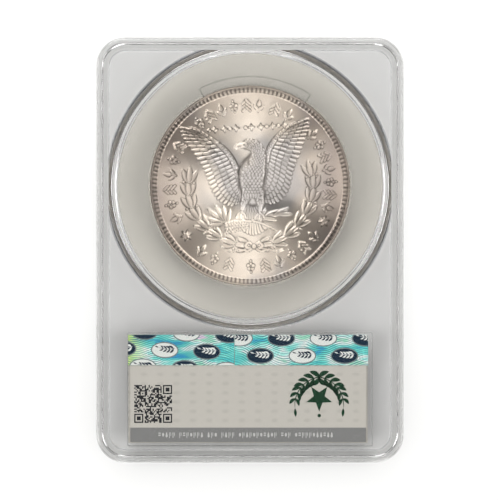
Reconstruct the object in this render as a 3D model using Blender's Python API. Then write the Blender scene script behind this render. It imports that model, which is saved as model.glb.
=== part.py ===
"""Graded coin slab: a silver-dollar-size coin held by a three-grip insert, with its
label, in a sealed two-piece clear case.

Frame: the slab lies on its front, with +Z up out of its back, the side that shows the
coin's reverse. +Y runs from the label end to the coin end. The origin is under the
slab's centre, where the front rim rests.
"""

import math

import bmesh
import bpy

MM = 0.001

# Case
SLAB_WIDTH = 58.3 * MM
SLAB_HEIGHT = 80.6 * MM
SLAB_THICKNESS = 8.0 * MM
CORNER_RADIUS = 5.5 * MM
EDGE_ROUND = 0.5 * MM
EDGE_STEPS = 4
RIM_WIDTH = 1.0 * MM  # stacking rim round each face, up to where it slopes down
RIM_SLOPE = 0.25 * MM
RIM_HEIGHT = 0.45 * MM
PLATE_THICKNESS = 1.45 * MM
WALL_THICKNESS = 2.3 * MM
SEAM_GAP = 0.3 * MM  # between the two shells at the parting plane

# Weld joint in the wall: a tongue on the back shell, a groove in the front shell.
# The ridge along the tongue's tip is what the weld melts.
TONGUE_WIDTH = 0.7 * MM
TONGUE_LENGTH = 1.1 * MM
RIDGE_WIDTH = 0.2 * MM
RIDGE_HEIGHT = 0.35 * MM
JOINT_CLEARANCE = 0.3 * MM

# Coin, insert and the round well that holds them
COIN_MIDDLE = 12.2 * MM  # from the slab's centre towards the coin end
COIN_RADIUS = 19.05 * MM
COIN_THICKNESS = 2.4 * MM
COIN_RIM = 1.2 * MM
COIN_FIELD_DEPTH = 0.22 * MM
COIN_EDGE_BREAK = 0.12 * MM
WELL_RADIUS = 25.6 * MM
WELL_WALL = 1.5 * MM
WELL_END = 0.25 * MM  # where the well walls stop short of the parting plane
WELL_FILLET = 0.45 * MM
INSERT_RADIUS = 25.2 * MM
INSERT_THICKNESS = 3.6 * MM
INSERT_BREAK = 0.25 * MM
SEAT_CLEARANCE = 0.3 * MM
GRIP_LIP = 0.3 * MM  # how far each grip's lips reach over the coin's rim
POCKET_RADIUS = 20.9 * MM
POCKET_ANGLE = math.radians(62)
POCKET_TURN = math.radians(87)
POCKET_DEPTH = 0.4 * MM
POCKET_STEPS = 24

# Label pack, pressed between a pad on each shell
PAD_WIDTH = 46.4 * MM
PAD_LOW = -37.2 * MM
PAD_HIGH = -15.7 * MM
PAD_GAP = 1.6 * MM  # between the two pads
PAD_CORNER = 0.8 * MM
LABEL_OFFSET = -0.35 * MM  # the pack sits a little to one side in its pocket
LABEL_SHEET = 0.3 * MM
LABEL_CORNER = 0.4 * MM
BACK_LABEL = (44.9 * MM, 20.3 * MM)
FRONT_LABEL = (45.4 * MM, 20.5 * MM)
LABEL_MIDDLE = -26.4 * MM
STRIP_LEFT = -22.8 * MM  # the foil strip's ends and its butt joint, across the label
STRIP_JOINT = -2.6 * MM
STRIP_RIGHT = 22.8 * MM
STRIP_HEIGHT = 5.8 * MM
STRIP_SHEET = 0.1 * MM
STRIP_MIDDLE = -19.0 * MM
SHEET_GAP = 0.1 * MM

ARC_STEPS = 8  # faces in a quarter turn of a case corner
ROUND_STEPS = 96  # faces round the coin, the insert and the well

HALF = SLAB_THICKNESS / 2
SEAM = SEAM_GAP / 2
FACE = HALF - RIM_HEIGHT
CAVITY = FACE - PLATE_THICKNESS
TO_BACK = (0, 0, 0)
TO_FRONT = (0, math.radians(180), 0)  # turns a shell modelled face up to face down


def material(name, colour, roughness, metallic=0.0, alpha=1.0):
    made = bpy.data.materials.new(name)
    made.use_nodes = True
    shader = made.node_tree.nodes["Principled BSDF"]
    shader.inputs["Base Color"].default_value = (*colour, 1.0)
    shader.inputs["Roughness"].default_value = roughness
    shader.inputs["Metallic"].default_value = metallic
    shader.inputs["Alpha"].default_value = alpha
    return made


def rounded_rectangle(width, height, radius, middle=(0.0, 0.0)):
    """Points anticlockwise round a rectangle with round corners."""
    corners = (
        (width / 2, height / 2),
        (-width / 2, height / 2),
        (-width / 2, -height / 2),
        (width / 2, -height / 2),
    )
    points = []
    for quarter, (x, y) in enumerate(corners):
        centre_x = x - math.copysign(radius, x)
        centre_y = y - math.copysign(radius, y)
        for step in range(ARC_STEPS + 1):
            turn = math.radians(90) * (quarter + step / ARC_STEPS)
            points.append(
                (
                    middle[0] + centre_x + radius * math.cos(turn),
                    middle[1] + centre_y + radius * math.sin(turn),
                )
            )
    return points


def case_outline(inset):
    """The slab's outline moved inwards by inset, about the slab's centre."""
    return rounded_rectangle(
        SLAB_WIDTH - 2 * inset, SLAB_HEIGHT - 2 * inset, CORNER_RADIUS - inset
    )


def loft(name, loops, ring=False):
    """A solid through loops of (points, height). A ring joins its last loop to its first."""
    shape = bmesh.new()
    rows = [[shape.verts.new((x, y, z)) for x, y in points] for points, z in loops]
    pairs = list(zip(rows, rows[1:]))
    if ring:
        pairs.append((rows[-1], rows[0]))
    else:
        shape.faces.new(reversed(rows[0]))
        shape.faces.new(rows[-1])
    for low, high in pairs:
        for i in range(len(low)):
            j = (i + 1) % len(low)
            shape.faces.new((low[i], low[j], high[j], high[i]))
    bmesh.ops.recalc_face_normals(shape, faces=shape.faces)
    mesh = bpy.data.meshes.new(name)
    shape.to_mesh(mesh)
    shape.free()
    made = bpy.data.objects.new(name, mesh)
    bpy.context.scene.collection.objects.link(made)
    return made


def turned(name, profile, ring=False):
    """A solid of revolution about local Z, through (radius, height) points."""
    loops = []
    for radius, height in profile:
        turns = (2 * math.pi * step / ROUND_STEPS for step in range(ROUND_STEPS))
        loops.append(([(radius * math.cos(t), radius * math.sin(t)) for t in turns], height))
    return loft(name, loops, ring)


def helper(shape):
    """Marks a shape that only cuts or joins, so it isn't a part of the object."""
    shape.hide_render = True
    shape.display_type = "WIRE"
    return shape


def boolean(target, operation, tool):
    step = target.modifiers.new(tool.name, "BOOLEAN")
    step.operation = operation
    step.solver = "EXACT"
    step.object = tool


def place(shape, parent, location, rotation, finish):
    shape.parent = parent
    shape.location = location
    shape.rotation_euler = rotation
    shape.data.materials.append(finish)
    shape.data.shade_smooth()
    shape.data.set_sharp_from_angle(angle=math.radians(30))
    return shape


def outer_side():
    """Loops up the case's side, round its edge and over the rim to the face."""
    loops = [(case_outline(0), SEAM), (case_outline(0), HALF - EDGE_ROUND)]
    for step in range(1, EDGE_STEPS + 1):
        turn = math.radians(90) * step / EDGE_STEPS
        inset = EDGE_ROUND * (1 - math.cos(turn))
        loops.append((case_outline(inset), HALF - EDGE_ROUND + EDGE_ROUND * math.sin(turn)))
    loops.append((case_outline(RIM_WIDTH), HALF))
    loops.append((case_outline(RIM_WIDTH + RIM_SLOPE), FACE))
    return loops


def inner_side():
    """Loops from the plate's inner face down the wall to the parting plane."""
    return [(case_outline(WALL_THICKNESS), CAVITY), (case_outline(WALL_THICKNESS), SEAM)]


def joint_insets():
    """How far in from the outline the tongue's two sides lie, centred in the wall."""
    outer = (WALL_THICKNESS - TONGUE_WIDTH) / 2
    return outer, outer + TONGUE_WIDTH


def tongue_loops():
    outer, inner = joint_insets()
    middle = WALL_THICKNESS / 2
    tip = SEAM - TONGUE_LENGTH
    return [
        (case_outline(inner), SEAM),
        (case_outline(inner), tip),
        (case_outline(middle + RIDGE_WIDTH), tip),
        (case_outline(middle), tip - RIDGE_HEIGHT),
        (case_outline(middle - RIDGE_WIDTH), tip),
        (case_outline(outer), tip),
        (case_outline(outer), SEAM),
    ]


def groove_loops():
    """The groove takes the whole tongue and its ridge, clear on every side."""
    outer, inner = joint_insets()
    outer -= JOINT_CLEARANCE
    inner += JOINT_CLEARANCE
    floor = TONGUE_LENGTH + RIDGE_HEIGHT - SEAM + JOINT_CLEARANCE
    return [
        (case_outline(inner), SEAM),
        (case_outline(inner), floor),
        (case_outline(outer), floor),
        (case_outline(outer), SEAM),
    ]


def well_wall(name):
    """The round wall about the insert, flared where it meets the plate."""
    root = CAVITY + PLATE_THICKNESS / 3
    outer = WELL_RADIUS + WELL_WALL
    flare = CAVITY - WELL_FILLET
    wall = turned(
        name,
        [
            (outer, WELL_END),
            (outer, flare),
            (outer + WELL_FILLET, root),
            (WELL_RADIUS - WELL_FILLET, root),
            (WELL_RADIUS, flare),
            (WELL_RADIUS, WELL_END),
        ],
        ring=True,
    )
    wall.location = (0, COIN_MIDDLE, 0)
    return helper(wall)


def wall_limit(name):
    """The space inside the middle of the case wall, which the round wall may not leave."""
    outline = case_outline(WALL_THICKNESS - JOINT_CLEARANCE / 2)
    return helper(loft(name, [(outline, -HALF), (outline, HALF)]))


def label_pad(name):
    middle = (0, (PAD_LOW + PAD_HIGH) / 2)
    outline = rounded_rectangle(PAD_WIDTH, PAD_HIGH - PAD_LOW, PAD_CORNER, middle)
    return helper(loft(name, [(outline, PAD_GAP / 2), (outline, CAVITY + PLATE_THICKNESS / 2)]))


def shell(name, joint_loops, rotation, parent, finish):
    """One half of the case, in local axes whose +Z points out of the slab."""
    body = loft(name, inner_side() + joint_loops + outer_side())
    wall = well_wall(name + "_well")
    limit = wall_limit(name + "_limit")
    pad = label_pad(name + "_pad")
    for tool in (wall, limit, pad):
        tool.parent = body
    boolean(wall, "INTERSECT", limit)
    boolean(body, "UNION", wall)
    boolean(body, "UNION", pad)
    return place(body, parent, (0, 0, 0), rotation, finish)


def coin_insert(parent, finish):
    """A clear disc whose lipped bore grips the coin, with a shallow pocket beside the bore."""
    grip = COIN_RADIUS - GRIP_LIP
    top = INSERT_THICKNESS / 2
    disc = turned(
        "coin_insert",
        [
            (INSERT_RADIUS - INSERT_BREAK, -top),
            (INSERT_RADIUS, INSERT_BREAK - top),
            (INSERT_RADIUS, top - INSERT_BREAK),
            (INSERT_RADIUS - INSERT_BREAK, top),
        ],
    )
    bore_cut = helper(turned("insert_bore", [(grip, -2 * top), (grip, 2 * top)]))
    wedge = [(0, 0)]
    for step in range(POCKET_STEPS + 1):
        turn = POCKET_TURN + POCKET_ANGLE * (step / POCKET_STEPS - 0.5)
        wedge.append((POCKET_RADIUS * math.cos(turn), POCKET_RADIUS * math.sin(turn)))
    pocket_cut = helper(loft("insert_pocket", [(wedge, top - POCKET_DEPTH), (wedge, 2 * top)]))
    seat = COIN_RADIUS + SEAT_CLEARANCE
    lip_start = COIN_THICKNESS / 2 + SEAT_CLEARANCE
    seat_cut = helper(turned("insert_seat", [(seat, -lip_start), (seat, lip_start)]))
    for tool in (bore_cut, seat_cut, pocket_cut):
        tool.parent = disc
        boolean(disc, "DIFFERENCE", tool)
    return place(disc, parent, (0, 0, 0), TO_BACK, finish)


def coin(parent, finish):
    """A struck blank: raised rim, sunk field on each side."""
    top = COIN_THICKNESS / 2
    field = top - COIN_FIELD_DEPTH
    rim = COIN_RADIUS - COIN_RIM
    half = [
        (rim - COIN_FIELD_DEPTH, field),
        (rim, top),
        (COIN_RADIUS - COIN_EDGE_BREAK, top),
        (COIN_RADIUS, top - COIN_EDGE_BREAK),
    ]
    profile = half + [(radius, -height) for radius, height in reversed(half)]
    return place(turned("coin", profile), parent, (0, 0, 0), TO_BACK, finish)


def sheet(name, size, thickness, parent, location, finish):
    outline = rounded_rectangle(size[0], size[1], min(LABEL_CORNER, thickness))
    flat = loft(name, [(outline, -thickness / 2), (outline, thickness / 2)])
    return place(flat, parent, location, TO_BACK, finish)


def label_pack(parent, paper, foil):
    """Two printed sheets back to back, with a strip of foil in two lengths across the back one."""
    height = (SHEET_GAP + LABEL_SHEET) / 2
    sheet("front_label", FRONT_LABEL, LABEL_SHEET, parent, (0, LABEL_MIDDLE, -height), paper)
    sheet("back_label", BACK_LABEL, LABEL_SHEET, parent, (0, LABEL_MIDDLE, height), paper)
    height += LABEL_SHEET / 2 + SHEET_GAP + STRIP_SHEET / 2
    joint = SHEET_GAP / 2
    for side, low, high in (
        ("left", STRIP_LEFT, STRIP_JOINT - joint),
        ("right", STRIP_JOINT + joint, STRIP_RIGHT),
    ):
        size = (high - low, STRIP_HEIGHT)
        location = ((low + high) / 2, STRIP_MIDDLE, height)
        sheet("hologram_strip_" + side, size, STRIP_SHEET, parent, location, foil)


def empty(name, location, parent=None):
    made = bpy.data.objects.new(name, None)
    bpy.context.scene.collection.objects.link(made)
    made.parent = parent
    made.location = location
    return made


def main():
    for old in list(bpy.data.objects):
        bpy.data.objects.remove(old)
    clear = material("clear_polystyrene", (0.86, 0.87, 0.86), 0.05, alpha=0.3)
    insert_plastic = material("insert_plastic", (0.74, 0.72, 0.66), 0.12, alpha=0.5)
    silver = material("coin_silver", (0.80, 0.76, 0.70), 0.3, metallic=1.0)
    paper = material("label_paper", (0.76, 0.75, 0.70), 0.6)
    foil = material("hologram_foil", (0.30, 0.72, 0.70), 0.25, metallic=0.6)

    slab = empty("slab", (0, 0, HALF))
    shell("back_shell", tongue_loops(), TO_BACK, slab, clear)
    shell("front_shell", groove_loops(), TO_FRONT, slab, clear)
    coin_axis = empty("coin_axis", (0, COIN_MIDDLE, 0), slab)
    coin_insert(coin_axis, insert_plastic)
    coin(coin_axis, silver)
    label_pack(empty("label_seat", (LABEL_OFFSET, 0, 0), slab), paper, foil)


main()
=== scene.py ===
import math
import random

import bmesh
import bpy
import numpy as np
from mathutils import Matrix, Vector


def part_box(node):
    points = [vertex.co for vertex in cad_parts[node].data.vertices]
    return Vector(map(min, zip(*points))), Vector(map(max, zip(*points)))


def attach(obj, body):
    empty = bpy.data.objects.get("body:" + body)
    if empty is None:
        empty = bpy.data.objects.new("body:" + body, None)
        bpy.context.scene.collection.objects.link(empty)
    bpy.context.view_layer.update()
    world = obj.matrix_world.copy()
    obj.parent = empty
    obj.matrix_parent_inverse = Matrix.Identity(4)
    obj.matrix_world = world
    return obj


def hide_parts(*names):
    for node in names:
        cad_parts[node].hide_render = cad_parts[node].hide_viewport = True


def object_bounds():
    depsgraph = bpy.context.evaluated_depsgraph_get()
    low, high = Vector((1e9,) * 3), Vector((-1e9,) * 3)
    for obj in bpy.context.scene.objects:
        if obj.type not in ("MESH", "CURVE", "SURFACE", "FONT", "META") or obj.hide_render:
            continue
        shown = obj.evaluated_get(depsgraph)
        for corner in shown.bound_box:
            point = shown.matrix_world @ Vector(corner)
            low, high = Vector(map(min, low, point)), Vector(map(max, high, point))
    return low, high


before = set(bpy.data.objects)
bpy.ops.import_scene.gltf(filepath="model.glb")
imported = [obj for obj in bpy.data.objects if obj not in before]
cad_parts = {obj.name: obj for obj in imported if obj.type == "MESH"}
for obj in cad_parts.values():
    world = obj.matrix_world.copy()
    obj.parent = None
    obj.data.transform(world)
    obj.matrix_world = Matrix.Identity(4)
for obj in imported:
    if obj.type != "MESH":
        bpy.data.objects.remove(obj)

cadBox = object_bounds()
mm = 0.001
body = "root"
slabLow, slabHigh = cadBox
middleZ = (slabLow.z + slabHigh.z) / 2
coinLow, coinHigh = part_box("coin")
coinCentre = (coinLow + coinHigh) / 2
coinRadius = (coinHigh.x - coinLow.x) / 2
bpy.ops.object.select_all(action="DESELECT")


# small helpers

def faceSelect(piece, wanted):
    # in edit mode: selects the faces whose centre and normal pass the test
    shape = bmesh.from_edit_mesh(piece.data)
    for face in shape.faces:
        face.select_set(False)
    for face in shape.faces:
        if wanted(face.calc_center_median(), face.normal):
            face.select_set(True)
    shape.select_flush_mode()
    bmesh.update_edit_mesh(piece.data)


def makeActive(piece):
    bpy.ops.object.select_all(action="DESELECT")
    piece.select_set(True)
    bpy.context.view_layer.objects.active = piece


def startEdit(piece):
    makeActive(piece)
    bpy.ops.object.mode_set(mode="EDIT")
    bpy.ops.mesh.select_all(action="SELECT")


def endEdit(merge=0.0):
    # leaves edit mode with close points merged and every face turned outwards
    bpy.ops.mesh.select_all(action="SELECT")
    if merge:
        bpy.ops.mesh.remove_doubles(threshold=merge)
    bpy.ops.mesh.normals_make_consistent(inside=False)
    bpy.ops.object.mode_set(mode="OBJECT")


def useModifier(piece, kind, **values):
    makeActive(piece)
    added = piece.modifiers.new(kind.lower(), kind)
    for key, value in values.items():
        setattr(added, key, value)
    bpy.ops.object.modifier_apply(modifier=added.name)


def combine(piece, tool, operation="UNION"):
    useModifier(piece, "BOOLEAN", object=tool, operation=operation, solver="EXACT")
    bpy.data.objects.remove(tool)


def finishSmooth(piece, angle=30.0, weighted=True):
    makeActive(piece)
    bpy.ops.object.shade_smooth_by_angle(angle=math.radians(angle))
    if weighted:
        useModifier(piece, "WEIGHTED_NORMAL", keep_sharp=True, weight=80)


def applyPlace(piece):
    makeActive(piece)
    bpy.ops.object.transform_apply(location=True, rotation=True, scale=True)


def standFor(piece, nodes):
    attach(piece, body)
    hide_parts(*nodes)


def pieceFromMesh(name, shape):
    mesh = bpy.data.meshes.new(name)
    shape.to_mesh(mesh)
    shape.free()
    piece = bpy.data.objects.new(name, mesh)
    bpy.context.scene.collection.objects.link(piece)
    return piece


def arcPoints(centreR, centreZ, radius, start, end, steps):
    found = []
    for step in range(steps + 1):
        turn = math.radians(start + (end - start) * step / steps)
        found.append((centreR + radius * math.cos(turn), centreZ + radius * math.sin(turn)))
    return found


def spinProfile(name, points, centre, steps):
    # points are (radius, height) round a closed section, and the spin is about Z
    shape = bmesh.new()
    corners = [shape.verts.new((centre.x + r, centre.y, z)) for r, z in points]
    for i, corner in enumerate(corners):
        shape.edges.new((corner, corners[(i + 1) % len(corners)]))
    piece = pieceFromMesh(name, shape)
    startEdit(piece)
    bpy.ops.mesh.spin(steps=steps, angle=2 * math.pi, center=centre, axis=(0, 0, 1))
    endEdit(0.002 * mm)
    return piece


# materials

def newMaterial(name):
    material = bpy.data.materials.new(name)
    material.use_nodes = True
    tree = material.node_tree
    return material, tree, tree.nodes["Principled BSDF"]


def feed(tree, value, socket):
    # a node gives its first output, a socket is linked and anything else is a fixed value
    if isinstance(value, bpy.types.Node):
        value = value.outputs[0]
    if isinstance(value, bpy.types.NodeSocket):
        tree.links.new(value, socket)
    else:
        socket.default_value = value


def addNode(tree, kind, inputs=None, **values):
    node = tree.nodes.new(kind)
    for key, value in values.items():
        setattr(node, key, value)
    for key, value in (inputs or {}).items():
        feed(tree, value, node.inputs[key])
    return node


def rangeNode(tree, value, start, end, low=0.0, high=1.0):
    limits = {"From Min": start, "From Max": end, "To Min": low, "To Max": high}
    return addNode(tree, "ShaderNodeMapRange", {"Value": value, **limits})


def mathNode(tree, operation, first, second=0.0):
    return addNode(tree, "ShaderNodeMath", {0: first, 1: second}, operation=operation)


def vectorNode(tree, operation, first, second=(0, 0, 0)):
    return addNode(tree, "ShaderNodeVectorMath", {0: first, 1: second}, operation=operation)


def splitNode(tree, vector):
    return addNode(tree, "ShaderNodeSeparateXYZ", {"Vector": vector})


def noiseNode(tree, place, scale, detail, **values):
    inputs = {"Vector": place, "Scale": scale, "Detail": detail}
    return addNode(tree, "ShaderNodeTexNoise", inputs | values)


def objectPlace(tree):
    return addNode(tree, "ShaderNodeTexCoord").outputs["Object"]


def rampNode(tree, fac, stops):
    ramp = addNode(tree, "ShaderNodeValToRGB", {"Fac": fac})
    elements = ramp.color_ramp.elements
    while len(elements) < len(stops):
        elements.new(0.5)
    for element, (place, colour) in zip(elements, stops):
        element.position = place
        element.color = (*colour, 1) if len(colour) == 3 else colour
    return ramp.outputs["Color"]


def mixColour(tree, factor, first, second, blend="MIX"):
    mixer = addNode(tree, "ShaderNodeMix", {"Factor": factor}, data_type="RGBA", blend_type=blend)
    for index, value in ((6, first), (7, second)):
        feed(tree, (*value, 1) if isinstance(value, tuple) else value, mixer.inputs[index])
    return mixer.outputs[2]


shellShape = {
    "cornerRadius": 5.5 * mm,
    "cornerSegments": 20,
    "edgeRound": 0.5 * mm,
    "edgeSteps": 5,
    "rimFlat": 0.5 * mm,
    "rimSlope": 0.20 * mm,
    "rimHeight": 0.45 * mm,
    "plate": 1.45 * mm,
    "wall": 2.3 * mm,
    "seam": 0.03 * mm,
    "floorFillet": 0.12 * mm,
    "overlap": 0.4 * mm,   # how far the well and the pad run into the plate
}
plasticZones = {   # distances from the case's middle plane, and inwards from its outline
    "wallStart": (0.82 * mm, 1.75 * mm),
    "wallEnd": (2.08 * mm, 2.0 * mm),
    "rimStart": (3.60 * mm, 3.66 * mm),
    "rimEnd": (3.98 * mm, 3.93 * mm),
    "rimInset": (0.7 * mm, 0.9 * mm),
    "edgeInset": (2.3 * mm, 2.0 * mm),
    "outermost": (0.8 * mm, 0.6 * mm),
    "steepTone": (0.15, 0.14, 0.13),
}
clearPlastic = {
    "tint": (0.990, 0.988, 0.986),
    "ior": 1.52,
    "roughness": 0.02,
    "scratch": 0.008,
    "shadowTint": (0.989, 0.989, 0.987),
    "clear": 1.0,
    "frost": 0.09,
    # painted shade colours for the ring's wall, the rim's inner slope and the case's edge
    "paintedWallShade": (0.11, 0.12, 0.145),
    "paintedRimShade": (0.20, 0.20, 0.20),
    "paintedEdgeShade": (0.90, 0.90, 0.895),
    "steepShade": 0.0,
}


def makeClearPlastic(name, values):
    zones = plasticZones
    material, tree, shader = newMaterial(name)
    place = objectPlace(tree)
    # fine hairlines and handling haze on the outside of the case
    stretched = addNode(tree, "ShaderNodeMapping", {"Vector": place, "Rotation": (0, 0, 0.6),
                                                    "Scale": (160, 2600, 160)})
    hairs = noiseNode(tree, stretched, 1.0, 3.0)
    haze = noiseNode(tree, place, 90.0, 4.0)
    gloss = rangeNode(tree, haze, 0.4, 0.8, values["roughness"], values["roughness"] * 2.2)
    bump = addNode(tree, "ShaderNodeBump", {"Height": hairs, "Strength": values["scratch"],
                                            "Distance": 0.00002})
    tint = mixColour(tree, haze, values["tint"], tuple(c * 0.985 for c in values["tint"]))
    # the walls inside are less polished than the two faces; the same mask carries the painted shade on the
    # ring's wall
    depth = splitNode(tree, place).outputs["Z"]
    away = mathNode(tree, "ABSOLUTE", mathNode(tree, "SUBTRACT", depth, middleZ))
    inside = rangeNode(tree, away, *zones["wallEnd"])
    inner = rangeNode(tree, away, *zones["wallStart"])
    wall = mathNode(tree, "MULTIPLY", inside, inner)
    # painted shade: the ring's wall is tinted dark, darkest on the diagonals and palest towards the four
    # sides of the case, where x or y is near nothing
    middle = vectorNode(tree, "SUBTRACT", place, (coinCentre.x, coinCentre.y, 0))
    flat = vectorNode(tree, "MULTIPLY", middle, (1, 1, 0))
    unit = vectorNode(tree, "NORMALIZE", flat)
    unit = splitNode(tree, unit)
    slant = mathNode(tree, "ABSOLUTE", mathNode(tree, "MULTIPLY", unit.outputs["X"], unit.outputs["Y"]))
    slant = rangeNode(tree, slant, 0.06, 0.30, 0.12, 1.0)
    toned = mathNode(tree, "MULTIPLY", wall, slant)
    tint = mixColour(tree, toned, tint, values["paintedWallShade"])
    # painted shade: the welded edge of the case is tinted darker than the plates; how far in from the
    # rounded outline
    half = (slabHigh.x - slabLow.x) / 2, (slabHigh.y - slabLow.y) / 2
    corner = shellShape["cornerRadius"]
    spread = vectorNode(tree, "ABSOLUTE", place)
    beyond = vectorNode(tree, "SUBTRACT", spread, (half[0] - corner, half[1] - corner, 1))
    beyond = vectorNode(tree, "MAXIMUM", beyond, (0, 0, 0))
    reach = vectorNode(tree, "LENGTH", beyond).outputs["Value"]
    inward = rangeNode(tree, reach, *(corner - inset for inset in zones["edgeInset"]))
    outermost = rangeNode(tree, reach, *(corner - inset for inset in zones["outermost"]), 1.0, 0.35)
    edge = mathNode(tree, "MULTIPLY", inward, outermost)
    tint = mixColour(tree, edge, tint, values["paintedEdgeShade"])
    # painted shade: the inner slope of the raised rim is tinted darker than the flat faces
    high = rangeNode(tree, away, *zones["rimStart"])
    low = rangeNode(tree, away, *zones["rimEnd"])
    slope = mathNode(tree, "MULTIPLY", high, low)
    within = rangeNode(tree, reach, *(corner - inset for inset in zones["rimInset"]))
    slope = mathNode(tree, "MULTIPLY", slope, within)
    tint = mixColour(tree, slope, tint, values["paintedRimShade"])
    # faces that stand steep catch less light, which draws the outline of a disc or a pocket
    facing = splitNode(tree, addNode(tree, "ShaderNodeNewGeometry").outputs["Normal"])
    facing = mathNode(tree, "ABSOLUTE", facing.outputs["Z"])
    steep = rangeNode(tree, facing, 0.97, 0.75, 0.0, values["steepShade"])
    tint = mixColour(tree, steep, tint, zones["steepTone"])
    feed(tree, tint, shader.inputs["Base Color"])
    rough = addNode(tree, "ShaderNodeMix", {0: inside, 2: gloss, 3: values["frost"]}, data_type="FLOAT")
    feed(tree, rough, shader.inputs["Roughness"])
    feed(tree, bump, shader.inputs["Normal"])
    shader.inputs["Transmission Weight"].default_value = values["clear"]
    shader.inputs["IOR"].default_value = values["ior"]
    lightPath = addNode(tree, "ShaderNodeLightPath")
    through = addNode(tree, "ShaderNodeBsdfTransparent", {"Color": (*values["shadowTint"], 1)})
    mixer = addNode(tree, "ShaderNodeMixShader", {"Fac": lightPath.outputs["Is Shadow Ray"]})
    feed(tree, shader, mixer.inputs[1])
    feed(tree, through, mixer.inputs[2])
    feed(tree, mixer, tree.nodes["Material Output"].inputs["Surface"])
    return material


# the two clear shells

wellShape = {
    "inner": 25.6 * mm,
    "outer": 26.95 * mm,
    "draft": 0.75 * mm,
    "fillet": 0.2 * mm,
    "outerFillet": 0.7 * mm,
    "end": 0.06 * mm,
    "lip": 0.12 * mm,
    "steps": 160,
}
padShape = {"width": 46.4 * mm, "low": -37.2 * mm, "high": -15.7 * mm, "gap": 0.8 * mm}


def insetStep(thickness, depth):
    bpy.ops.mesh.inset(thickness=thickness, depth=depth, use_even_offset=True)


def insetArc(radius, steps, rise):
    # rounds an edge: starts straight up (or down) and ends level
    across = up = 0.0
    for step in range(1, steps + 1):
        turn = math.pi / 2 * step / steps
        insetStep(radius * (1 - math.cos(turn)) - across, rise * (radius * math.sin(turn) - up))
        across, up = radius * (1 - math.cos(turn)), radius * math.sin(turn)


def extrudeBy(height):
    bpy.ops.mesh.extrude_region_move(TRANSFORM_OT_translate={"value": (0, 0, height)})


def makeCase(name):
    # one half of the case, outside up, with its parting plane near height 0
    s = shellShape
    half = (slabHigh.z - slabLow.z) / 2
    bpy.ops.mesh.primitive_plane_add(size=1, location=(0, 0, s["seam"]))
    case = bpy.context.active_object
    case.name = case.data.name = name
    case.scale = (slabHigh.x - slabLow.x, slabHigh.y - slabLow.y, 1)
    applyPlace(case)
    startEdit(case)
    bpy.ops.mesh.bevel(offset=s["cornerRadius"], segments=s["cornerSegments"], affect="VERTICES")
    bpy.ops.mesh.select_all(action="SELECT")
    extrudeBy(half - s["seam"] - s["edgeRound"])
    insetArc(s["edgeRound"], s["edgeSteps"], 1)
    insetStep(s["rimFlat"] - s["rimSlope"] * 0.1, 0)
    insetStep(s["rimSlope"] * 0.2, -s["rimHeight"] * 0.1)
    insetStep(s["rimSlope"] * 0.7, -s["rimHeight"] * 0.8)
    insetStep(s["rimSlope"] * 0.2, -s["rimHeight"] * 0.1)
    # the inside: from the parting plane, the cavity down to the plate
    faceSelect(case, lambda centre, normal: abs(centre.z - s["seam"]) < 0.01 * mm)
    insetStep(s["wall"], 0)
    cavity = half - s["rimHeight"] - s["plate"]
    extrudeBy(cavity - s["seam"] - s["floorFillet"])
    insetArc(s["floorFillet"], 3, -1)
    endEdit(0.0005 * mm)
    return case, cavity


def makeWell(cavity):
    w = wellShape
    root = cavity + shellShape["overlap"]
    f = w["fillet"]
    inner, outer, end, lip = w["inner"], w["outer"], w["end"], w["lip"]
    wide = w["outerFillet"]
    points = arcPoints(outer + wide, cavity - wide, wide, 180, 90, 7)
    points += [(outer + wide, root), (inner - f, root)]
    points += arcPoints(inner - f, cavity - f, f, 90, 0, 5)
    points += arcPoints(inner + lip, end + lip, lip, 180, 270, 4)
    points += arcPoints(outer - w["draft"] - lip, end + lip, lip, 270, 360, 4)
    centre = Vector((coinCentre.x, coinCentre.y, 0))
    return spinProfile("well", points, centre, w["steps"])


def makePad(cavity):
    p = padShape
    top = cavity + shellShape["overlap"]
    bpy.ops.mesh.primitive_cube_add(size=1, location=(0, (p["low"] + p["high"]) / 2, (p["gap"] + top) / 2))
    pad = bpy.context.active_object
    pad.scale = (p["width"], p["high"] - p["low"], top - p["gap"])
    applyPlace(pad)
    useModifier(pad, "BEVEL", width=0.15 * mm, segments=3, limit_method="ANGLE")
    return pad


def makeShell(name, node, faceDown):
    case, cavity = makeCase(name)
    combine(case, makeWell(cavity))
    combine(case, makePad(cavity))
    if faceDown:
        case.rotation_euler = (0, math.pi, 0)
    case.location = (0, 0, middleZ)
    applyPlace(case)
    finishSmooth(case, 35)
    case.data.materials.clear()
    case.data.materials.append(shellPlastic)
    standFor(case, [node])


shellPlastic = makeClearPlastic("clearCasePlastic", clearPlastic)
makeShell("backShell", "back_shell", False)
makeShell("frontShell", "front_shell", True)
print("shells made")


# the insert that grips the coin

insertShape = {
    "outer": 25.2 * mm,
    "grip": 18.98 * mm,
    "seat": 19.35 * mm,
    "pocket": 20.9 * mm,
    "pocketStart": 10 * mm,   # where its cutter starts, inside the bore
    "pocketAngle": 62,
    "pocketTurn": 87,
    "pocketDepth": 0.4 * mm,
    "pocketSlope": 0.3 * mm,
    "half": 1.8 * mm,
    "seatHalf": 1.4 * mm,
    "round": 0.3 * mm,
    "steps": 192,
}
insertPlastic = {
    "tint": (0.835, 0.81, 0.755),
    "ior": 1.36,
    "roughness": 0.04,
    "scratch": 0.02,
    "shadowTint": (0.975, 0.97, 0.96),
    "clear": 0.84,
    "frost": 0.05,
    # the painted shades match the tint here, so they leave the insert unchanged
    "paintedWallShade": (0.835, 0.81, 0.755),
    "paintedRimShade": (0.835, 0.81, 0.755),
    "paintedEdgeShade": (0.835, 0.81, 0.755),
    "steepShade": 0.45,
}


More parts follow.
